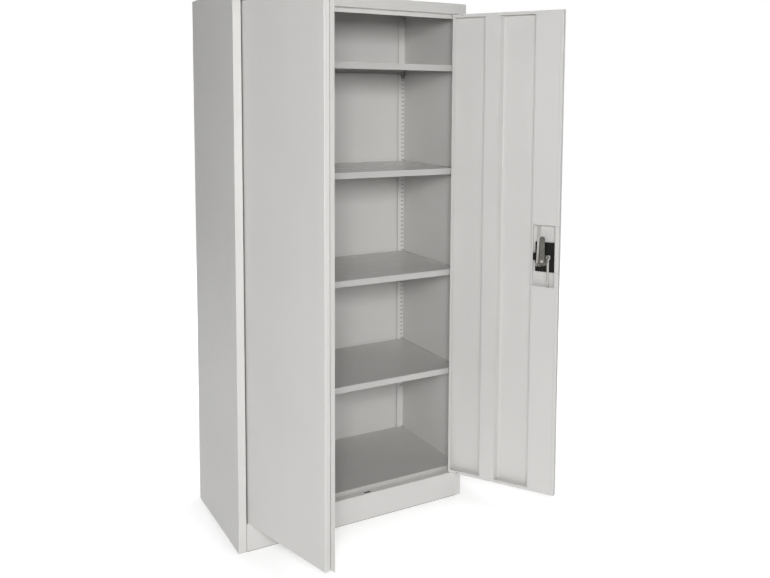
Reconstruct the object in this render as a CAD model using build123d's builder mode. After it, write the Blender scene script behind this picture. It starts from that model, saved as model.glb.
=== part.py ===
"""Two-door sheet-steel storage cabinet with four shelves and a three-point lock.

Millimetres. X runs to the viewer's right, Y to the back, Z up. The origin is on the floor,
in the middle of the cabinet's footprint. The doors stand open as photographed.
"""

import os
from math import cos, radians, sin

from build123d import *

os.makedirs("parts", exist_ok=True)

# Cabinet
cabinet_width = 930.0
cabinet_depth = 470.0
cabinet_height = 1950.0
sheet = 1.0  # gauge of all folded steel
bend = 2.5  # outside radius of a fold in the carcass
seat = 0.2  # gap between pieces that are welded or rest on each other
overrun = 5.0  # how far every cut runs past the metal

# Front frame
stile_width = 29.0
stile_depth = 26.0
header_height = 39.0
stop_drop = 16.0  # height of the door stop that hangs under the header
top_flange = 20.0
plinth_height = 100.0
plinth_foot = 14.0
floor_rise = 18.0  # from the sill up to the floor pan's top
rear_flange = 32.0

# Uprights, slots and shelves
upright_width = 30.0
upright_depth = 6.0
spacing_share = 0.2046  # from one shelf to the next, of the cabinet's height
lowest_shelf_rise = 4.7  # the lowest bay is this much taller than the others
slots_per_bay = 22
slots_below_count = 10  # slots under the lowest shelf's clip
slots_above_count = 0  # slots over the highest shelf's clip
front_slots_each_way_count = 1  # the front uprights have slots only near the shelves
shelf_count = 4
slot_width = 12.0
slot_height = 5.0
slot_from_wall = 9.5
shelf_lip = 23.0
shelf_hem = 12.0
shelf_side_gap = 2.5
shelf_front_gap = 0.5

# Shelf clips
clip_width = 17.0
clip_height = 20.0
clip_gauge = 1.5
clip_ledge = 14.0
clip_web = 16.0  # height of the web under the ledge's inner side
clip_shelf_to_slot = 8.0  # from the ledge down to the middle of its slot
hook_width = 10.0
hook_height = 3.0
hook_reach = 1.2
hook_drop = 4.0

# Doors
door_thickness = 22.0
door_bend = 3.0
door_side_gap = 2.3
door_end_gap = 2.5
meeting_gap = 2.0
pivot_inset = 9.0  # from the door's hinge edge to the hinge pin
pivot_depth = 6.0  # from the door's outer face to the hinge pin
door_lip = 12.0
left_door_angle = 75.0  # as photographed, from closed
right_door_angle = 123.0
strip_overlap = 20.0
strip_seat = 0.3

# Door stiffeners, as shares of the door's width from its hinge edge
hat_start_share = 0.308
hat_end_share = 0.449
hat_slope = 8.0
hat_flange = 12.0
channel_width = 104.0  # from the free edge
channel_return = 10.0
window_from_free = 15.7
window_width = 83.0
window_below_axis = 96.0
window_above_axis = 134.5

# Lock, measured from its axis
lock_from_free = 62.2
lock_height_share = 0.5087
housing_left = 30.0
housing_right = 53.0
housing_below = 41.0
housing_above = 69.0
housing_corner = 5.0
housing_wall = 2.0
housing_depth = 11.0  # from the door's face to the back of the cup
bezel_rim = 8.0
bezel_gauge = 2.0
cutout_clearance = 0.3
lug_width = 8.0
lug_height = 26.0
stop_rib_radius = 39.5
stop_rib_gauge = 3.0
stop_rib_height = 3.0
stop_rib_start = 5.0  # degrees
stop_rib_sweep = 52.0  # degrees
rotor_radius = 22.0
rotor_gauge = 3.5
grip_length = 42.0
grip_width = 12.0
grip_height = 6.0
cylinder_radius = 6.5
keyway_width = 1.2
keyway_length = 6.5
keyway_depth = 2.0
spindle_radius = 6.0
spindle_square = 8.0
fit = 0.05  # radial clearance of a turning or pushed-together fit
rotor_gap = 0.3

# Cam, tongue and rods
rod_gauge = 2.5
rod_width = 8.0
rod_layer_gap = 1.0  # from the housing to the rods
cam_layer_gap = 0.5
cam_gauge = 2.0
cam_radius = 19.0
cam_ear_radius = 7.5
pin_radius_of_throw = 21.0
crank_pin_radius = 2.5
crank_pin_stand = 1.0  # how far the pins stand out of the cam
spacer_radius = 8.0
spacer_length = 6.8
tongue_gauge = 2.0
tongue_width = 20.0
tongue_length = 93.0
screw_head_radius = 5.5
screw_head_height = 3.0
screw_shank_radius = 2.5
screw_shank_length = 8.0
rod_slot_width = 12.6
rod_slot_height = 7.2
rod_plate_width = 19.5
rod_plate_height = 14.0
upper_rod_tilt = 2.14  # degrees from upright
upper_rod_offset = 21.5  # from the axis, at the crank pin
lower_rod_offset = 19.5
rod_end_setback = 1.5  # how far a drawn-in rod lies inside the door's end
rod_hole_width = 15.0
rod_hole_depth = 7.0
rod_keep_width = 26.0  # slots in the header and the sill
rod_keep_depth = 10.0
guide_width = 20.0
guide_height = 10.0
guide_from_end = 26.0
guide_rim = 3.0
guide_clearance = 0.3

# Hinges
pin_radius = 4.0
pin_past_frame = 4.0
pin_hole_clearance = 0.3  # in the door's own end
bracket_gauge = 3.0
bracket_length = 46.0
bracket_inset = 6.0
vent_from_pivot = 31.0  # small punched holes in the doors' lips, near each hinge
vent_from_end = 6.0
vent_size = 4.5
notch_from_end = 54.0
notch_width = 4.0
notch_height = 6.0
washer_radius = 7.0
washer_clearance = 0.15

# Places that follow from the sizes
front = -cabinet_depth / 2
back = cabinet_depth / 2
half_width = cabinet_width / 2
wall_inside = half_width - sheet
floor_height = plinth_height + floor_rise
header_bottom = cabinet_height - header_height
panel_top = cabinet_height - sheet - seat
stile_inside = half_width - stile_width
frame_back = front + stile_depth
back_panel_face = back - 2 * (sheet + seat)
rear_upright_face = back_panel_face - seat - upright_depth
upright_bottom = floor_height + seat
upright_top = header_bottom - stop_drop

shelf_spacing = cabinet_height * spacing_share
lowest_shelf_top = floor_height + shelf_spacing + lowest_shelf_rise
slot_pitch = shelf_spacing / slots_per_bay
slot_x = wall_inside - slot_from_wall
lowest_clip_slot = lowest_shelf_top - shelf_lip - seat - clip_shelf_to_slot

door_bottom = plinth_height + door_end_gap
door_top = header_bottom - door_end_gap
door_height = door_top - door_bottom
door_width = half_width - stile_width - door_side_gap - meeting_gap / 2
pivot_x = stile_inside - door_side_gap - pivot_inset
door_outer = -pivot_depth  # depths in a door are measured inwards from its hinge pin
door_inner = door_thickness - pivot_depth
hinge_edge = -pivot_inset
free_edge = door_width - pivot_inset
skin_inside = door_outer + sheet
web_foot = skin_inside + seat + sheet

lock_u = free_edge - lock_from_free
lock_z = cabinet_height * lock_height_share
housing_back = door_outer + housing_depth
cup_floor = housing_back - housing_wall
rod_start = housing_back + rod_layer_gap
rod_end = rod_start + rod_gauge
rod_middle = rod_start + rod_gauge / 2
cam_start = rod_end + cam_layer_gap
cam_end = cam_start + cam_gauge
tongue_start = cam_end + spacer_length
tongue_end = tongue_start + tongue_gauge
crank_offset = pin_radius_of_throw * cos(radians(45))
rod_travel = 2 * crank_offset
lower_rod_u = lock_u + lower_rod_offset
keep_y = front + pivot_depth + rod_middle
keep_x = pivot_x - lower_rod_u
bezel_back = door_outer - seat
bezel_face = bezel_back - bezel_gauge
rotor_back = cup_floor - rotor_gap
rotor_face = rotor_back - rotor_gauge
grip_face = rotor_face - grip_height

LEFT_HAND = -1
RIGHT_HAND = 1
HANDS = {"left": LEFT_HAND, "right": RIGHT_HAND}
DOOR_ANGLES = {LEFT_HAND: left_door_angle, RIGHT_HAND: right_door_angle}


def folded_section(points, side, radius=bend, gauge=sheet):
    """Fill a sketch with a folded sheet whose outer surface runs through the points."""
    with BuildLine() as outline:
        FilletPolyline(*points, radius=radius)
        offset(amount=gauge, side=side)
    make_face(outline.edges())


def sharp_section(points, side, gauge=sheet):
    """The same for inner pieces, whose small folds are drawn without a radius."""
    with BuildLine() as outline:
        Polyline(*points)
        offset(amount=gauge, side=side, kind=Kind.INTERSECTION)
    make_face(outline.edges())


def block(x_range, y_range, z_range, mode=Mode.ADD):
    """Add or cut a box given by its three ranges."""
    with Locations(tuple((low + high) / 2 for low, high in (x_range, y_range, z_range))):
        Box(*(high - low for low, high in (x_range, y_range, z_range)), mode=mode)


def handed(hand, near, far):
    """A range across X that lies on one side of the cabinet."""
    return tuple(sorted((hand * near, hand * far)))


def save(piece, name):
    """Name a finished piece and write it out."""
    piece.label = name
    export_step(piece, f"parts/{name}.step")


# Side panels: wall, front stile with its return, and rear flange in one sheet

def make_side_panel(name, hand):
    points = [
        (hand * stile_inside, frame_back),
        (hand * stile_inside, front),
        (hand * half_width, front),
        (hand * half_width, back),
        (hand * (half_width - rear_flange), back),
    ]
    with BuildPart() as panel:
        with BuildSketch():
            folded_section(points, Side.RIGHT if hand == LEFT_HAND else Side.LEFT)
        extrude(amount=panel_top)
        for x_inner, x_outer, y_rear, z_low, z_high in (
            (stile_inside - overrun, wall_inside, frame_back + overrun, header_bottom - seat, panel_top),
            (wall_inside, half_width, front + sheet + seat, header_bottom - seat, panel_top),
            (wall_inside, half_width, front + bend + seat, header_bottom - seat, header_bottom + bend),
            (wall_inside, half_width, front + bend + seat, panel_top - bend, panel_top),
        ):
            block(handed(hand, x_inner, x_outer), (front, y_rear), (z_low, z_high), Mode.SUBTRACT)
    save(panel.part, name)


# Top panel: top sheet, header face, header return and door stop in one sheet

def cut_frame_holes(z_range):
    """Holes for the hinge pins and the locking rods in the header or the sill."""
    with Locations(
        (-pivot_x, front + pivot_depth, sum(z_range) / 2),
        (pivot_x, front + pivot_depth, sum(z_range) / 2),
    ):
        Cylinder(pin_radius + fit, z_range[1] - z_range[0], mode=Mode.SUBTRACT)
    block(
        (keep_x - rod_keep_width / 3, keep_x + rod_keep_width * 2 / 3),
        (keep_y - rod_keep_depth / 2, keep_y + rod_keep_depth / 2),
        z_range,
        Mode.SUBTRACT,
    )


def make_top_panel():
    points = [
        (back, cabinet_height),
        (front, cabinet_height),
        (front, header_bottom),
        (frame_back - sheet, header_bottom),
        (frame_back - sheet, header_bottom - stop_drop),
    ]
    flange_bottom = cabinet_height - top_flange
    with BuildPart() as panel:
        with BuildSketch(Plane.YZ.offset(-half_width)):
            folded_section(points, Side.LEFT)
        extrude(amount=cabinet_width)
        for hand in HANDS.values():
            block(
                handed(hand, stile_inside - seat, half_width + overrun),
                (front - overrun, frame_back + overrun),
                (header_bottom - stop_drop - overrun, header_bottom),
                Mode.SUBTRACT,
            )
            block(
                handed(hand, wall_inside - seat, half_width + overrun),
                (front + bend, frame_back + overrun),
                (header_bottom - overrun, header_bottom + 2 * sheet),
                Mode.SUBTRACT,
            )
            block(
                handed(hand, wall_inside - seat - sheet, wall_inside - seat),
                (frame_back + seat, back - sheet - seat - sheet - seat),
                (flange_bottom, cabinet_height - sheet / 2),
            )
        rear_half = half_width - rear_flange - seat
        block((-rear_half, rear_half), (back - sheet, back), (flange_bottom, cabinet_height - sheet / 2))
        cut_frame_holes((header_bottom - overrun, header_bottom + overrun))
    save(panel.part, "top_panel")


def make_back_panel():
    with BuildPart() as panel:
        block(
            (bend - wall_inside, wall_inside - bend),
            (back_panel_face, back_panel_face + sheet),
            (seat, panel_top),
        )
    save(panel.part, "back_panel")


# Plinth: face, sill and foot in one sheet between the stiles

def make_plinth():
    points = [
        (front + plinth_foot, 0),
        (front, 0),
        (front, plinth_height),
        (frame_back, plinth_height),
    ]
    with BuildPart() as plinth:
        with BuildSketch(Plane.YZ.offset(seat - stile_inside)):
            folded_section(points, Side.RIGHT)
        extrude(amount=2 * (stile_inside - seat))
        cut_frame_holes((plinth_height - overrun, plinth_height + overrun))
    save(plinth.part, "plinth")


# Floor pan and shelves: inverted trays

def make_tray(name, half_x, y_range, top, depth, hem=0.0):
    """An inverted tray with lips all round and, with a hem, flanges under its front and back."""
    y_middle = sum(y_range) / 2
    y_length = y_range[1] - y_range[0]
    with BuildPart() as tray:
        block((-half_x, half_x), y_range, (top - depth, top))
        with BuildSketch(Plane((0, y_middle, top - sheet))):
            Rectangle(2 * (half_x - sheet), y_length - 2 * sheet)
        extrude(amount=-(depth - sheet - (sheet if hem else 0)), mode=Mode.SUBTRACT)
        if hem:
            with BuildSketch(Plane((0, y_middle, top - depth))):
                Rectangle(2 * (half_x - sheet), y_length - 2 * hem)
            extrude(amount=sheet + overrun, mode=Mode.SUBTRACT)
            with BuildSketch(Plane((0, y_middle, top - depth))):
                Rectangle(2 * (half_x - sheet), y_length - 2 * sheet)
                Rectangle(2 * (half_x - sheet - hem), y_length, mode=Mode.SUBTRACT)
            extrude(amount=sheet, mode=Mode.SUBTRACT)
    save(tray.part, name)


def make_floor():
    make_tray(
        "floor_pan",
        wall_inside - seat,
        (frame_back + seat, back_panel_face - seat),
        floor_height,
        floor_rise - seat,
    )


def shelf_top(level):
    """Height of a shelf, counted from the lowest."""
    return lowest_shelf_top + level * shelf_spacing


def make_shelves():
    for number in range(1, shelf_count + 1):
        make_tray(
            f"shelf_{number}",
            wall_inside - shelf_side_gap,
            (frame_back + shelf_front_gap, rear_upright_face - shelf_front_gap),
            shelf_top(shelf_count - number),
            shelf_lip,
            shelf_hem,
        )


# Slotted uprights in the four corners

def slot_heights(first, last):
    """Heights of a run of slots, counted from the slot that holds the lowest shelf's clip."""
    return [lowest_clip_slot + number * slot_pitch for number in range(first, last + 1)]


def make_upright(name, hand, face_y, legs_to_y, x_range, z_range, heights, inner_leg=True):
    """A slotted strip at face_y, with a leg to legs_to_y at the wall and at will one inside."""
    inner_side = Side.RIGHT if (legs_to_y > face_y) == (hand == RIGHT_HAND) else Side.LEFT
    near, far = x_range
    points = [
        (hand * far, legs_to_y),
        (hand * far, face_y),
        (hand * near, face_y),
    ]
    if inner_leg:
        points.append((hand * near, legs_to_y))
    with BuildPart() as upright:
        with BuildSketch(Plane.XY.offset(z_range[0])):
            sharp_section(points, inner_side)
        extrude(amount=z_range[1] - z_range[0])
        with BuildSketch(Plane.XZ.offset(-face_y - 2 * sheet)):
            with Locations(*[(hand * slot_x, height) for height in heights]):
                Rectangle(slot_width, slot_height)
        extrude(amount=4 * sheet, mode=Mode.SUBTRACT)
    save(upright.part, name)


def make_uprights():
    highest_clip = (shelf_count - 1) * slots_per_bay
    rear_slots = slot_heights(-slots_below_count, highest_clip + slots_above_count)
    front_slots = []
    for level in range(shelf_count):
        clip = level * slots_per_bay
        front_slots += slot_heights(clip - front_slots_each_way_count, clip + front_slots_each_way_count)
    for side_name, hand in HANDS.items():
        make_upright(
            f"{side_name}_rear_upright",
            hand,
            rear_upright_face,
            back_panel_face - seat,
            (half_width - upright_width - sheet, wall_inside - seat),
            (upright_bottom, cabinet_height - top_flange - seat),
            rear_slots,
            inner_leg=False,
        )
        make_upright(
            f"{side_name}_front_upright",
            hand,
            frame_back,
            frame_back - upright_depth,
            (stile_inside + sheet + seat, wall_inside - seat),
            (upright_bottom, upright_top),
            front_slots,
        )


# Shelf clips: a plate on the upright, a ledge with one web under the shelf, a hook in a slot

def add_clip(hand, face_y, inwards, ledge_top):
    def depth(start, end):
        return tuple(sorted((face_y + inwards * start, face_y + inwards * end)))

    def across(width):
        return tuple(sorted((hand * slot_x - width / 2, hand * slot_x + width / 2)))

    slot_z = ledge_top - clip_shelf_to_slot
    behind = -(sheet + seat + hook_reach)
    block(across(clip_width), depth(seat, seat + clip_gauge), (ledge_top - clip_height, ledge_top))
    block(across(clip_width), depth(seat, seat + clip_ledge), (ledge_top - clip_gauge, ledge_top))
    block(
        handed(hand, slot_x - clip_width / 2, slot_x - clip_width / 2 + clip_gauge),
        depth(seat, seat + clip_ledge),
        (ledge_top - clip_web, ledge_top),
    )
    block(across(hook_width), depth(behind, seat + clip_gauge), (slot_z - hook_height / 2, slot_z + hook_height / 2))
    block(
        across(hook_width),
        depth(behind, behind + hook_reach),
        (slot_z - hook_drop, slot_z + hook_height / 2),
    )


def make_clips():
    for number in range(1, shelf_count + 1):
        ledge_top = shelf_top(shelf_count - number) - shelf_lip - seat
        with BuildPart() as clips:
            for hand in HANDS.values():
                add_clip(hand, rear_upright_face, -1, ledge_top)
                add_clip(hand, frame_back, 1, ledge_top)
        save(clips.part, f"shelf_{number}_clips")


# Doors. A door's sketch plane has its origin on the hinge pin, U towards the free edge and
# V across the door, and it is turned about the pin to the photographed angle.

def door_plane(hand, height=0.0):
    angle = radians(DOOR_ANGLES[hand])
    return Plane(
        origin=(hand * pivot_x, front + pivot_depth, height),
        x_dir=(-hand * cos(angle), -sin(angle), 0),
        z_dir=(0, 0, 1),
    )


def door_points(hand, points):
    """Points given as (U, depth inwards) in the sketch plane of either door."""
    return [(u, -hand * depth) for u, depth in points]


def door_side(hand):
    """The side of a door section's path on which the metal lies, for a path run clockwise."""
    return Side.LEFT if hand == LEFT_HAND else Side.RIGHT


def opposite(side):
    return Side.RIGHT if side == Side.LEFT else Side.LEFT


def door_block(hand, u_range, depth_range, z_range, mode=Mode.ADD):
    """Add or cut a box given by ranges along U, inwards and up."""
    with Locations(door_plane(hand).location):
        block(u_range, handed(-hand, *depth_range), z_range, mode)


def across_plane(hand, u, depth, height):
    """A plane square to the door's face: X towards the free edge, normal inwards."""
    base = door_plane(hand, height)
    return Plane(
        origin=base.from_local_coords((u, -hand * depth, 0)),
        x_dir=base.x_dir,
        z_dir=base.y_dir * -hand,
    )


def end_range(end, start, depth):
    """A height range at one end of the door, counted from the end inwards."""
    if end == "top":
        return (door_top - start - depth, door_top - start)
    return (door_bottom + start, door_bottom + start + depth)


def make_door_skin(name, hand):
    points = [
        (hinge_edge + door_lip, door_inner),
        (hinge_edge, door_inner),
        (hinge_edge, door_outer),
        (free_edge, door_outer),
        (free_edge, door_inner),
        (free_edge - door_lip, door_inner),
    ]
    middle = door_points(hand, [((hinge_edge + free_edge) / 2, (door_outer + door_inner) / 2)])
    with BuildPart() as skin:
        with BuildSketch(door_plane(hand, door_bottom)):
            folded_section(door_points(hand, points), door_side(hand), radius=door_bend)
        extrude(amount=door_height)
        for end in ("top", "bottom"):
            with BuildSketch(door_plane(hand, end_range(end, 0, sheet)[0])):
                with Locations(*middle):
                    RectangleRounded(door_width, door_thickness, door_bend)
            extrude(amount=sheet)
            door_block(
                hand,
                (hinge_edge + door_bend, free_edge - door_bend),
                (door_inner - sheet, door_inner),
                end_range(end, 0, door_lip),
            )
            with BuildSketch(door_plane(hand, end_range(end, -overrun, sheet + 2 * overrun)[0])):
                Circle(pin_radius + pin_hole_clearance)
            extrude(amount=sheet + 2 * overrun, mode=Mode.SUBTRACT)
            vent_z = sum(end_range(end, vent_from_end, 0)) / 2
            with BuildSketch(across_plane(hand, vent_from_pivot, door_inner, vent_z)):
                Rectangle(vent_size, vent_size)
            extrude(amount=2 * sheet, both=True, mode=Mode.SUBTRACT)
        door_block(
            hand,
            (hinge_edge + door_lip - notch_width, hinge_edge + door_lip + overrun),
            (door_inner - 2 * sheet, door_inner + sheet),
            end_range("top", notch_from_end, notch_height),
            Mode.SUBTRACT,
        )
        if hand == RIGHT_HAND:
            cut_lock_openings(hand)
    save(skin.part, name)


def cut_lock_openings(hand):
    """The handle cut-out and the rod holes of the door that locks."""
    door_block(
        hand,
        (lock_u - housing_left - cutout_clearance, lock_u + housing_right + cutout_clearance),
        (door_outer - sheet, door_outer + 2 * sheet),
        (lock_z - housing_below - cutout_clearance, lock_z + housing_above + cutout_clearance),
        Mode.SUBTRACT,
    )
    for end, rod_u in (("top", upper_rod_u_at(door_top)), ("bottom", lower_rod_u)):
        door_block(
            hand,
            (rod_u - rod_hole_width / 2, rod_u + rod_hole_width / 2),
            (rod_middle - rod_hole_depth / 2, rod_middle + rod_hole_depth / 2),
            end_range(end, -sheet, 3 * sheet),
            Mode.SUBTRACT,
        )


def upper_rod_u_at(height):
    """Where the leaning upper rod is along the door at a height."""
    rise = height - (lock_z - crank_offset)
    return lock_u - upper_rod_offset + rise * sin(radians(upper_rod_tilt)) / cos(radians(upper_rod_tilt))


def make_hat_stiffener(name, hand):
    start = hinge_edge + door_width * hat_start_share
    end = hinge_edge + door_width * hat_end_share
    points = [
        (start - hat_flange, web_foot),
        (start, web_foot),
        (start, door_inner),
        (end, door_inner),
        (end + hat_slope, web_foot),
        (end + hat_slope + hat_flange, web_foot),
    ]
    with BuildPart() as hat:
        with BuildSketch(door_plane(hand, door_bottom + door_lip + seat)):
            sharp_section(door_points(hand, points), opposite(door_side(hand)))
        extrude(amount=door_height - 2 * (door_lip + seat))
    save(hat.part, name)


def make_lock_channel(hand):
    start = free_edge - channel_width
    end = free_edge - door_lip - seat
    points = [
        (start - hat_flange, web_foot),
        (start, web_foot),
        (start, door_inner),
        (end, door_inner),
        (end, door_inner - channel_return),
    ]
    window_right = free_edge - window_from_free
    with BuildPart() as channel:
        with BuildSketch(door_plane(hand, door_bottom + door_lip + seat)):
            sharp_section(door_points(hand, points), opposite(door_side(hand)))
        extrude(amount=door_height - 2 * (door_lip + seat))
        door_block(
            hand,
            (window_right - window_width, window_right),
            (door_inner - 2 * sheet, door_inner + sheet),
            (lock_z - window_below_axis, lock_z + window_above_axis),
            Mode.SUBTRACT,
        )
    save(channel.part, "lock_channel")


def make_closing_strip(hand):
    start = door_inner + strip_seat
    with BuildPart() as strip:
        door_block(
            hand,
            (free_edge - 2 * door_lip, free_edge + strip_overlap),
            (start, start + sheet),
            (door_bottom, door_top),
        )
    save(strip.part, "closing_strip")


# Hinge brackets: a plate in each corner of a door, and the hinge pin that stands on it

def make_hinge(name, hand, end):
    plate = end_range(end, sheet + seat, bracket_gauge)
    pin_length = door_end_gap + sheet + pin_past_frame
    pin = end_range(end, -pin_length, pin_length + sheet + seat + bracket_gauge)
    plate_depths = (skin_inside + seat, door_inner - sheet - seat)
    with BuildPart() as hinge:
        door_block(hand, (-bracket_inset, bracket_length - bracket_inset), plate_depths, plate)
        with BuildSketch(door_plane(hand, pin[0])):
            Circle(pin_radius)
        extrude(amount=pin[1] - pin[0])
    save(hinge.part, name)


def make_hinge_washers():
    with BuildPart() as washers:
        with BuildSketch(Plane.XY.offset(plinth_height + washer_clearance)):
            with Locations((-pivot_x, front + pivot_depth), (pivot_x, front + pivot_depth)):
                Circle(washer_radius)
                Circle(pin_radius + fit, mode=Mode.SUBTRACT)
        extrude(amount=door_end_gap - 2 * washer_clearance)
    save(washers.part, "hinge_washers")


# Lock: everything is placed from its axis, square to the right door

def lock_plane(depth):
    return across_plane(RIGHT_HAND, lock_u, depth, lock_z)


def lock_rectangle(left, right, below, above, corner=0.0):
    """A rectangle given by how far it reaches from the lock's axis."""
    with Locations(((right - left) / 2, (above - below) / 2)):
        if corner:
            RectangleRounded(left + right, below + above, corner)
        else:
            Rectangle(left + right, below + above)


def make_handle_housing():
    with BuildPart() as housing:
        with BuildSketch(lock_plane(bezel_face)):
            lock_rectangle(
                housing_left + bezel_rim,
                housing_right + bezel_rim,
                housing_below + bezel_rim,
                housing_above + bezel_rim,
                housing_corner,
            )
        extrude(amount=bezel_gauge)
        with BuildSketch(lock_plane(bezel_face)):
            lock_rectangle(housing_left, housing_right, housing_below, housing_above)
        extrude(amount=housing_back - bezel_face)
        with BuildSketch(lock_plane(skin_inside + seat)):
            with Locations((-housing_left - lug_width / 2 + seat, lug_height / 2)):
                Rectangle(lug_width, lug_height)
        extrude(amount=housing_back - skin_inside - seat)
        with BuildSketch(lock_plane(bezel_face)):
            lock_rectangle(
                housing_left - housing_wall,
                housing_right - housing_wall,
                housing_below - housing_wall,
                housing_above - housing_wall,
                housing_corner - housing_wall,
            )
        extrude(amount=cup_floor - bezel_face, mode=Mode.SUBTRACT)
        with BuildSketch(lock_plane(bezel_face)):
            Circle(spindle_radius + fit)
        extrude(amount=housing_back - bezel_face + overrun, mode=Mode.SUBTRACT)
        with BuildSketch(lock_plane(housing_back)):
            with BuildLine():
                CenterArc((0, 0), stop_rib_radius, stop_rib_start, stop_rib_sweep)
                offset(amount=stop_rib_gauge / 2, side=Side.BOTH)
            make_face()
        extrude(amount=stop_rib_height)
    save(housing.part, "handle_housing")


def make_handle_grip():
    with BuildPart() as grip:
        with BuildSketch(lock_plane(rotor_face)):
            Circle(rotor_radius)
        extrude(amount=rotor_gauge)
        with BuildSketch(lock_plane(grip_face)):
            SlotOverall(grip_length, grip_width, rotation=90)
            Circle(cylinder_radius + housing_wall)
        extrude(amount=grip_height)
        with BuildSketch(lock_plane(grip_face)):
            Circle(cylinder_radius + fit)
        extrude(amount=grip_height, mode=Mode.SUBTRACT)
        with BuildSketch(lock_plane(rotor_face)):
            Rectangle(spindle_square + 2 * fit, spindle_square + 2 * fit)
        extrude(amount=rotor_gauge, mode=Mode.SUBTRACT)
    save(grip.part, "handle_grip")


def make_lock_cylinder():
    with BuildPart() as cylinder:
        with BuildSketch(lock_plane(grip_face)):
            Circle(cylinder_radius)
        extrude(amount=grip_height - fit)
        with BuildSketch(lock_plane(grip_face)):
            Rectangle(keyway_width, keyway_length)
        extrude(amount=keyway_depth, mode=Mode.SUBTRACT)
    save(cylinder.part, "lock_cylinder")


def make_spindle():
    journal_start = rotor_back + fit
    with BuildPart() as spindle:
        with BuildSketch(lock_plane(rotor_face + fit)):
            Rectangle(spindle_square, spindle_square)
        extrude(amount=tongue_end - rotor_face - fit)
        with BuildSketch(lock_plane(journal_start)):
            Circle(spindle_radius)
        extrude(amount=cam_start - seat - journal_start)
        with BuildSketch(lock_plane(tongue_end)):
            Circle(screw_shank_radius + fit)
        extrude(amount=-screw_shank_length - fit, mode=Mode.SUBTRACT)
    save(spindle.part, "spindle")


def crank_points():
    """The two crank pins, from the lock's axis: one low on the hinge side, one high."""
    return [(-crank_offset, -crank_offset), (crank_offset, crank_offset)]


def cut_square_hole(depth, gauge):
    with BuildSketch(lock_plane(depth)) as hole:
        Rectangle(spindle_square + 2 * fit, spindle_square + 2 * fit)
    extrude(hole.sketch, amount=gauge, mode=Mode.SUBTRACT)


def make_cam():
    with BuildPart() as cam:
        with BuildSketch(lock_plane(cam_start)):
            Circle(cam_radius)
            SlotCenterToCenter(2 * pin_radius_of_throw, 2 * cam_ear_radius, rotation=45)
            with Locations(*crank_points()):
                Circle(crank_pin_radius + fit, mode=Mode.SUBTRACT)
        extrude(amount=cam_gauge)
        cut_square_hole(cam_start, cam_gauge)
    save(cam.part, "cam_plate")


def make_crank_rivets():
    with BuildPart() as rivets:
        with BuildSketch(lock_plane(rod_start)):
            with Locations(*crank_points()):
                Circle(crank_pin_radius)
        extrude(amount=cam_end + crank_pin_stand - rod_start)
    save(rivets.part, "crank_rivets")


def make_spacer():
    with BuildPart() as spacer:
        with BuildSketch(lock_plane(cam_end)):
            RegularPolygon(spacer_radius, 6)
        extrude(amount=spacer_length)
        cut_square_hole(cam_end, spacer_length)
    save(spacer.part, "tongue_spacer")


def make_tongue():
    arm = tongue_length - tongue_width / 2
    with BuildPart() as tongue:
        with BuildSketch(lock_plane(tongue_start)):
            with Locations((0, arm / 2)):
                SlotCenterToCenter(arm, tongue_width, rotation=90)
        extrude(amount=tongue_gauge)
        cut_square_hole(tongue_start, tongue_gauge)
    save(tongue.part, "lock_tongue")


def make_spindle_screw():
    with BuildPart() as screw:
        with BuildSketch(lock_plane(tongue_end)):
            RegularPolygon(screw_head_radius, 6)
        extrude(amount=screw_head_height)
        with BuildSketch(lock_plane(tongue_end)):
            Circle(screw_shank_radius)
        extrude(amount=-screw_shank_length)
    save(screw.part, "spindle_screw")


# Locking rods: flat bars with a slotted plate around the crank pin

def rod_plane(upper, depth):
    """A plane square to the door at the rod's crank pin, with Y along the rod."""
    sign = -1 if upper else 1
    offset_u = sign * (upper_rod_offset if upper else lower_rod_offset)
    tilt = upper_rod_tilt if upper else 0
    base = across_plane(RIGHT_HAND, lock_u + offset_u, depth, lock_z + sign * crank_offset)
    x_dir = base.x_dir * cos(radians(tilt)) - base.y_dir * sin(radians(tilt))
    return Plane(origin=base.origin, x_dir=x_dir, z_dir=base.z_dir)


def make_rod(name, upper):
    sign = -1 if upper else 1
    rod_offset = upper_rod_offset if upper else lower_rod_offset
    slot_offset = sign * ((pin_radius_of_throw + crank_offset) / 2 - rod_offset)
    tilt = cos(radians(upper_rod_tilt)) if upper else 1
    if upper:
        reach = (door_top - rod_end_setback - lock_z + crank_offset) / tilt
    else:
        reach = lock_z + crank_offset - door_bottom - rod_end_setback
    with BuildPart() as rod:
        with BuildSketch(rod_plane(upper, rod_start)):
            with Locations((0, -sign * reach / 2)):
                Rectangle(rod_width, reach)
            with Locations((slot_offset, 0)):
                Rectangle(rod_plate_width, rod_plate_height)
                Rectangle(rod_slot_width, rod_slot_height, mode=Mode.SUBTRACT)
        extrude(amount=rod_gauge)
    save(rod.part, name)


def make_rod_guide(name, upper):
    """A block on the door's skin that the rod slides through."""
    sign = -1 if upper else 1
    end = door_top if upper else door_bottom
    tilt = cos(radians(upper_rod_tilt)) if upper else 1
    along = abs(end - (lock_z + sign * crank_offset)) / tilt - guide_from_end
    with BuildPart() as guide:
        with BuildSketch(rod_plane(upper, skin_inside + seat)):
            with Locations((0, -sign * along)):
                Rectangle(guide_width, guide_height)
        extrude(amount=rod_end + guide_rim - skin_inside - seat)
        with BuildSketch(rod_plane(upper, rod_start - guide_clearance)):
            with Locations((0, -sign * along)):
                Rectangle(rod_width + 2 * guide_clearance, guide_height)
        extrude(amount=rod_gauge + 2 * guide_clearance, mode=Mode.SUBTRACT)
    save(guide.part, name)


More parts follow.
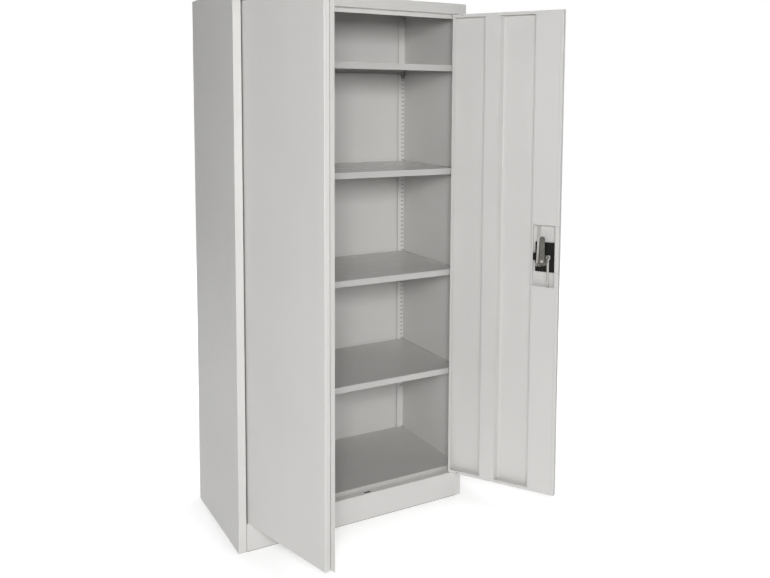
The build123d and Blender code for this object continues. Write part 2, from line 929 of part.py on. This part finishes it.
make_side_panel("left_side_panel", LEFT_HAND)
make_side_panel("right_side_panel", RIGHT_HAND)
make_top_panel()
make_back_panel()
make_plinth()
make_floor()
make_uprights()
make_shelves()
make_clips()
make_hinge_washers()
for side_name, side_hand in HANDS.items():
    make_door_skin(f"{side_name}_door_skin", side_hand)
    make_hat_stiffener(f"{side_name}_door_stiffener", side_hand)
    for door_end in ("top", "bottom"):
        make_hinge(f"{side_name}_{door_end}_hinge", side_hand, door_end)
make_closing_strip(LEFT_HAND)
make_lock_channel(RIGHT_HAND)
make_handle_housing()
make_handle_grip()
make_lock_cylinder()
make_spindle()
make_cam()
make_crank_rivets()
make_spacer()
make_tongue()
make_spindle_screw()
make_rod("upper_rod", True)
make_rod("lower_rod", False)
make_rod_guide("upper_rod_guide", True)
make_rod_guide("lower_rod_guide", False)
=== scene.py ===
"""Looks of the sheet-steel storage cabinet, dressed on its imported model. Metres, Z up."""
from math import radians

import bpy
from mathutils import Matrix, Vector


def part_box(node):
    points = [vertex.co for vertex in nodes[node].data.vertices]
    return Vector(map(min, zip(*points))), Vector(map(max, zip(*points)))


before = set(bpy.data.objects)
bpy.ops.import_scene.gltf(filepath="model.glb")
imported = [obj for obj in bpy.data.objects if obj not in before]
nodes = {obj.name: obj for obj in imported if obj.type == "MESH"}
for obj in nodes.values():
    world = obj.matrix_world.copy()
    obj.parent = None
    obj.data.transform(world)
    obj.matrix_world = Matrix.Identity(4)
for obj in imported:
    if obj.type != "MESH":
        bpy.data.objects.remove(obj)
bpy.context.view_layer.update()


def srgb(red, green, blue):
    """A colour as it looks on screen, 0 to 255, as the linear values that shaders take."""
    shares = (red / 255, green / 255, blue / 255)
    linear = (s / 12.92 if s <= 0.04045 else ((s + 0.055) / 1.055) ** 2.4 for s in shares)
    return (*linear, 1.0)


class Nodes:
    """Builds the nodes of a material or of the world."""

    def __init__(self, tree):
        self.tree = tree

    def add(self, kind, values=None, **settings):
        node = self.tree.nodes.new(kind)
        for key, value in settings.items():
            setattr(node, key, value)
        for key, value in (values or {}).items():
            self.put(node.inputs[key], value)
        return node

    def put(self, socket, value):
        """Set one input, or link it to an output."""
        if isinstance(value, bpy.types.NodeSocket):
            self.tree.links.new(value, socket)
        else:
            socket.default_value = value

    def math(self, operation, first, second=0.0):
        return self.add("ShaderNodeMath", {0: first, 1: second}, operation=operation).outputs[0]

    def times(self, first, second):
        return self.math("MULTIPLY", first, second)

    def spread(self, value, low, high, start=0.0, end=1.0):
        """Map a value from low..high to start..end, held at both ends."""
        return self.add(
            "ShaderNodeMapRange",
            {"Value": value, "From Min": low, "From Max": high, "To Min": start, "To Max": end},
        ).outputs[0]

    def place(self):
        return self.add("ShaderNodeTexCoord").outputs["Object"]

    def seen_share(self):
        """1 for rays from the camera and for what metal and glass reflect, 0 for light."""
        path = self.add("ShaderNodeLightPath").outputs
        sharp = self.math("MAXIMUM", path["Is Glossy Ray"], path["Is Transmission Ray"])
        return self.math("MAXIMUM", path["Is Camera Ray"], sharp)


class Shader(Nodes):
    """A material being built from nodes."""

    # How far a softened normal agrees with the true one, on flats and along edges
    FLAT, EDGE = 0.995, 0.90

    def __init__(self, name):
        self.material = bpy.data.materials.new(name)
        self.material.use_nodes = True
        super().__init__(self.material.node_tree)
        self.surface = self.tree.nodes["Principled BSDF"]

    def set(self, **values):
        """Set or link inputs of the surface, named with underscores for spaces."""
        for key, value in values.items():
            self.put(self.surface.inputs[key.replace("_", " ")], value)

    def noise(self, scale, detail, stretch=None):
        place = self.place()
        if stretch:
            place = self.add("ShaderNodeMapping", {"Vector": place, "Scale": stretch}).outputs[0]
        values = {"Vector": place, "Scale": scale, "Detail": detail}
        return self.add("ShaderNodeTexNoise", values).outputs["Fac"]

    def mix(self, share, first, second):
        return self.add(
            "ShaderNodeMix", {0: share, 6: first, 7: second}, data_type="RGBA"
        ).outputs[2]

    def edges(self, reach):
        """Near 1 along sharp edges and folds, 0 on flats."""
        soft = self.add("ShaderNodeBevel", {"Radius": reach}, samples=6).outputs[0]
        true = self.add("ShaderNodeNewGeometry").outputs["Normal"]
        dot = self.add("ShaderNodeVectorMath", {0: soft, 1: true}, operation="DOT_PRODUCT")
        return self.spread(dot.outputs["Value"], self.FLAT, self.EDGE)

    def crevices(self, reach, open_share, closed_share):
        """1 in slots, seams and hems that are closed in on most sides, 0 in the open."""
        free = self.add("ShaderNodeAmbientOcclusion", {"Distance": reach}, samples=8).outputs["AO"]
        return self.spread(free, open_share, closed_share)

    def patches(self, scale, detail, low, high, start=0.0, end=1.0):
        """Soft patches of noise, from start to end between two levels."""
        return self.spread(self.noise(scale, detail), low, high, start, end)

    def bump(self, height, strength, distance, **more):
        values = {"Height": height, "Strength": strength, "Distance": distance, **more}
        return self.add("ShaderNodeBump", values).outputs[0]


# Materials

BARE = srgb(150, 148, 145)  # primer under chipped paint
SEAM_PAINTED_SHADE = srgb(118, 117, 115)  # painted shade in slots and seams, where little light gets in
ZINC_PAINTED_SHADE = srgb(74, 71, 66)  # painted shade in corners and painted dark reflection along edges of the zinc


def powder_coat(name, colour, worn_and_highlight_colour, roughness=0.45, peel=0.12, gloss=0.4):
    """Baked powder paint: orange peel, faint clouding, rubbed edges lighter partly as a painted
    highlight, a few chips, painted shade in seams.
    """
    shader = Shader(name)
    clouds = shader.patches(2.2, 3.0, 0.35, 0.65)
    body = shader.mix(shader.times(clouds, 0.5), colour, worn_and_highlight_colour)
    edge = shader.edges(0.0012)
    rubbed = shader.times(edge, shader.patches(60.0, 4.0, 0.42, 0.62))
    # edges lightened partly as real rubbing and partly as a painted highlight
    body = shader.mix(shader.times(rubbed, 0.35), body, worn_and_highlight_colour)
    chips = shader.times(edge, shader.patches(210.0, 2.0, 0.715, 0.735))
    body = shader.mix(chips, body, BARE)
    # painted shade: the paint darkens where slots, seams and hems close it in
    seams = shader.crevices(reach=0.016, open_share=0.48, closed_share=0.10)
    body = shader.mix(seams, body, SEAM_PAINTED_SHADE)
    dented = shader.bump(shader.noise(7.0, 1.0), 0.25, 0.004)
    shader.set(
        Base_Color=body,
        Roughness=shader.patches(30.0, 3.0, 0.3, 0.7, roughness - 0.05, roughness + 0.05),
        Specular_IOR_Level=gloss,
        Normal=shader.bump(shader.noise(900.0, 2.0), peel, 0.0004, Normal=dented),
    )
    return shader.material


def plated_steel(name, colour, stained_colour, roughness):
    """Zinc plate: metal with drawn streaks, dull spangles, a yellowish bloom, painted shade in
    corners and a painted dark reflection along edges.
    """
    shader = Shader(name)
    bloom = shader.patches(45.0, 4.0, 0.35, 0.68)
    body = shader.mix(bloom, colour, stained_colour)
    # painted dark reflection along edges, stronger in uneven patches
    edge_shade_amount = shader.patches(150.0, 3.0, 0.35, 0.7, 0.4, 1.0)
    body = shader.mix(shader.times(shader.edges(0.0009), edge_shade_amount), body, ZINC_PAINTED_SHADE)
    # painted shade where corners close the zinc in
    corners = shader.crevices(reach=0.010, open_share=0.7, closed_share=0.2)
    body = shader.mix(corners, body, ZINC_PAINTED_SHADE)
    streaks = shader.noise(160.0, 3.0, stretch=(1.0, 1.0, 0.08))
    shader.set(
        Base_Color=body,
        Metallic=1.0,
        Roughness=shader.spread(streaks, 0.3, 0.7, roughness - 0.08, roughness + 0.1),
        Normal=shader.bump(streaks, 0.2, 0.0002),
    )
    return shader.material


def moulded_plastic(name, colour, grey_colour, roughness, gloss):
    """Moulded plastic with a fine spark-eroded grain, greyer where it is rubbed."""
    shader = Shader(name)
    rubbed = shader.times(shader.edges(0.0008), shader.patches(120.0, 3.0, 0.4, 0.6))
    shader.set(
        Base_Color=shader.mix(shader.times(rubbed, 0.5), colour, grey_colour),
        Roughness=shader.patches(80.0, 3.0, 0.3, 0.7, roughness - 0.06, roughness + 0.08),
        Specular_IOR_Level=gloss,
        Normal=shader.bump(shader.noise(2600.0, 2.0), 0.18, 0.0002),
    )
    return shader.material


def bright_chrome(name):
    """Chrome plate with faint turning marks and a little haze."""
    shader = Shader(name)
    haze = shader.noise(300.0, 3.0)
    shader.set(
        Base_Color=srgb(226, 228, 230),
        Metallic=1.0,
        Roughness=shader.spread(haze, 0.3, 0.7, 0.08, 0.2),
        Normal=shader.bump(haze, 0.08, 0.0001),
    )
    return shader.material


FINISHES = {
    "painted_sheet": powder_coat("paint", srgb(211, 210, 208), srgb(217, 216, 214)),
    "zinc_plated_steel": plated_steel("zinc", srgb(186, 186, 185), srgb(166, 163, 155), 0.34),
    "black_plastic": moulded_plastic("black", srgb(12, 12, 11), srgb(52, 52, 50), 0.46, 0.18),
    "white_plastic": moulded_plastic("nylon", srgb(226, 224, 216), srgb(206, 204, 196), 0.5, 0.5),
    "chrome": bright_chrome("chrome"),
}
# painted shade: a darker copy of the cabinet paint for the shelves and floor pan
shelf_paint_painted_shade = powder_coat(
    "shelf_paint_painted_shade",
    srgb(195, 194, 192),
    srgb(202, 201, 199),
    roughness=0.20,
    peel=0.03,
    gloss=0.5,
)
# painted light: lighter copies of the cabinet paint for the rear uprights and back panel
upright_paint_painted_light = powder_coat("upright_paint_painted_light", srgb(222, 221, 219), srgb(227, 226, 224))
back_paint_painted_light = powder_coat("back_paint_painted_light", srgb(220, 219, 217), srgb(224, 223, 221))
lock_steel = plated_steel("lock_steel", srgb(112, 110, 105), srgb(92, 89, 84), 0.38)

SPECIAL_FINISHES = {
    **{f"shelf_{number}": shelf_paint_painted_shade for number in range(1, 5)},
    "floor_pan": shelf_paint_painted_shade,
    "back_panel": back_paint_painted_light,
    "left_rear_upright": upright_paint_painted_light,
    "right_rear_upright": upright_paint_painted_light,
    "lock_tongue": lock_steel,
    "cam_plate": lock_steel,
    "tongue_spacer": lock_steel,
}

for name, node in nodes.items():
    for slot in node.material_slots:
        slot.material = SPECIAL_FINISHES.get(name, FINISHES.get(slot.material.name))


# Floor, background and light

FLOOR_REACH = 40.0  # metres each way
DARK, PALE = (0.0, 0.0, 0.0, 1.0), (0.8, 0.8, 0.8, 1.0)
SEEN_GLOW = (0.64, 1.0)  # how white the floor shows near the cabinet, and far from it
SEEN_RANGE = (0.9, 1.5)  # metres from the cabinet's middle over which that changes
SEEN_SHADE = 0.4  # how much of it is lost as painted shadow where the cabinet stands close over the floor
BOUNCE = 0.40  # soft light that the bright floor round the cabinet throws on it
BOUNCE_RANGE = (1.0, 2.8)  # metres from the cabinet's middle over which that fades
AMBIENT = 0.02  # light from the background, which itself shows white


def outside_footprint(shader, place):
    """1 on the open floor, 0 on the floor that the cabinet covers."""
    half_width, half_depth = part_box("plinth")[1][0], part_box("left_side_panel")[1][1]
    values = {0: place, 1: (1 / half_width, 1 / half_depth, 0.0)}
    scaled = shader.add("ShaderNodeVectorMath", values, operation="MULTIPLY").outputs[0]
    split = shader.add("ShaderNodeSeparateXYZ", {0: scaled}).outputs
    across, along = (shader.math("ABSOLUTE", split[axis]) for axis in "XY")
    return shader.math("GREATER_THAN", shader.math("MAXIMUM", across, along), 1.0)


def floor_material():
    """Pale floor that shows white and keeps a faint shadow under the object, partly cast and
    partly painted by dimming its glow.
    """
    shader = Shader("floor")
    place = shader.place()
    far = shader.add("ShaderNodeVectorMath", {0: place}, operation="LENGTH").outputs["Value"]
    outside = outside_footprint(shader, place)
    # painted shadow: the floor's white glow dims where the cabinet closes over it
    shaded = shader.crevices(reach=0.22, open_share=0.97, closed_share=0.5)
    unshaded = shader.times(outside, shader.spread(shaded, 0.0, 1.0, 1.0, 1.0 - SEEN_SHADE))
    seen_glow = shader.times(unshaded, shader.spread(far, *SEEN_RANGE, *SEEN_GLOW))
    bounce = shader.times(outside, shader.spread(far, *BOUNCE_RANGE, BOUNCE, 0.0))
    body = shader.mix(outside, DARK, PALE)  # painted shadow: the floor is black under the cabinet, where no light gets
    diffuse = shader.add("ShaderNodeBsdfDiffuse", {"Color": body}).outputs[0]
    glow = shader.add(
        "ShaderNodeMix", {0: shader.seen_share(), 2: bounce, 3: seen_glow}, data_type="FLOAT"
    ).outputs[0]
    white = shader.add("ShaderNodeEmission", {"Strength": glow}).outputs[0]
    both = shader.add("ShaderNodeAddShader", {0: diffuse, 1: white}).outputs[0]
    shader.put(shader.tree.nodes["Material Output"].inputs["Surface"], both)
    return shader.material


floor_mesh = bpy.data.meshes.new("floor")
floor_mesh.from_pydata(
    [(x * FLOOR_REACH, y * FLOOR_REACH, 0.0) for x, y in ((-1, -1), (1, -1), (1, 1), (-1, 1))],
    [],
    [(0, 1, 2, 3)],
)
floor_mesh.materials.append(floor_material())
floor = bpy.data.objects.new("floor", floor_mesh)
bpy.context.scene.collection.objects.link(floor)

world = bpy.data.worlds.new("studio")
bpy.context.scene.world = world
world.use_nodes = True
sky = Nodes(world.node_tree)
strength = sky.spread(sky.seen_share(), 0.0, 1.0, AMBIENT, 1.0)
backdrop = world.node_tree.nodes["Background"]
sky.put(backdrop.inputs["Color"], (1.0, 1.0, 1.0, 1.0))
sky.put(backdrop.inputs["Strength"], strength)

CENTRE = Vector((0.0, 0.0, 1.0))
LAMPS = {  # place, width in metres, power in watts
    "lamp_key": ((-1.6, -3.6, 2.1), 0.8, 85.0),
    "lamp_front_left": ((-2.4, -3.9, 2.6), 2.2, 34.0),
    "lamp_front": ((-0.2, -4.6, 1.1), 2.2, 4.0),
    "lamp_left": ((-4.6, -0.6, 1.1), 2.0, 5.0),
    "lamp_right": ((4.6, -0.6, 1.8), 2.4, 20.0),
    "lamp_back": ((-0.15, 4.7, 2.4), 0.6, 62.0),
    "lamp_back_right": ((4.0, 2.4, 2.2), 2.0, 34.0),
    "lamp_top": ((-0.3, 0.1, 5.0), 0.6, 30.0),
}


def lamp(name, place, size, power):
    """A soft square lamp that points at the cabinet's middle."""
    data = bpy.data.lights.new(name, "AREA")
    data.shape = "SQUARE"
    data.size = size
    data.energy = power
    thing = bpy.data.objects.new(name, data)
    thing.location = place
    thing.rotation_euler = (CENTRE - Vector(place)).to_track_quat("-Z", "Y").to_euler()
    bpy.context.scene.collection.objects.link(thing)


for name, (place, size, power) in LAMPS.items():
    lamp(name, place, size, power)


# Camera, solved from the photograph's straight edges

camera_data = bpy.data.cameras.new("camera")
camera_data.sensor_width = 36.0
camera_data.lens = 38.3126
camera_data.shift_x = -0.00137
camera_data.shift_y = -0.14948
camera_data.clip_end = 200.0
camera = bpy.data.objects.new("camera", camera_data)
camera.location = (-1.35199, -2.87133, 1.57726)
camera.rotation_euler = (radians(84.96539), radians(-0.23233), radians(-29.09914))
bpy.context.scene.collection.objects.link(camera)
bpy.context.scene.camera = camera

bpy.context.scene.view_settings.view_transform = "Standard"
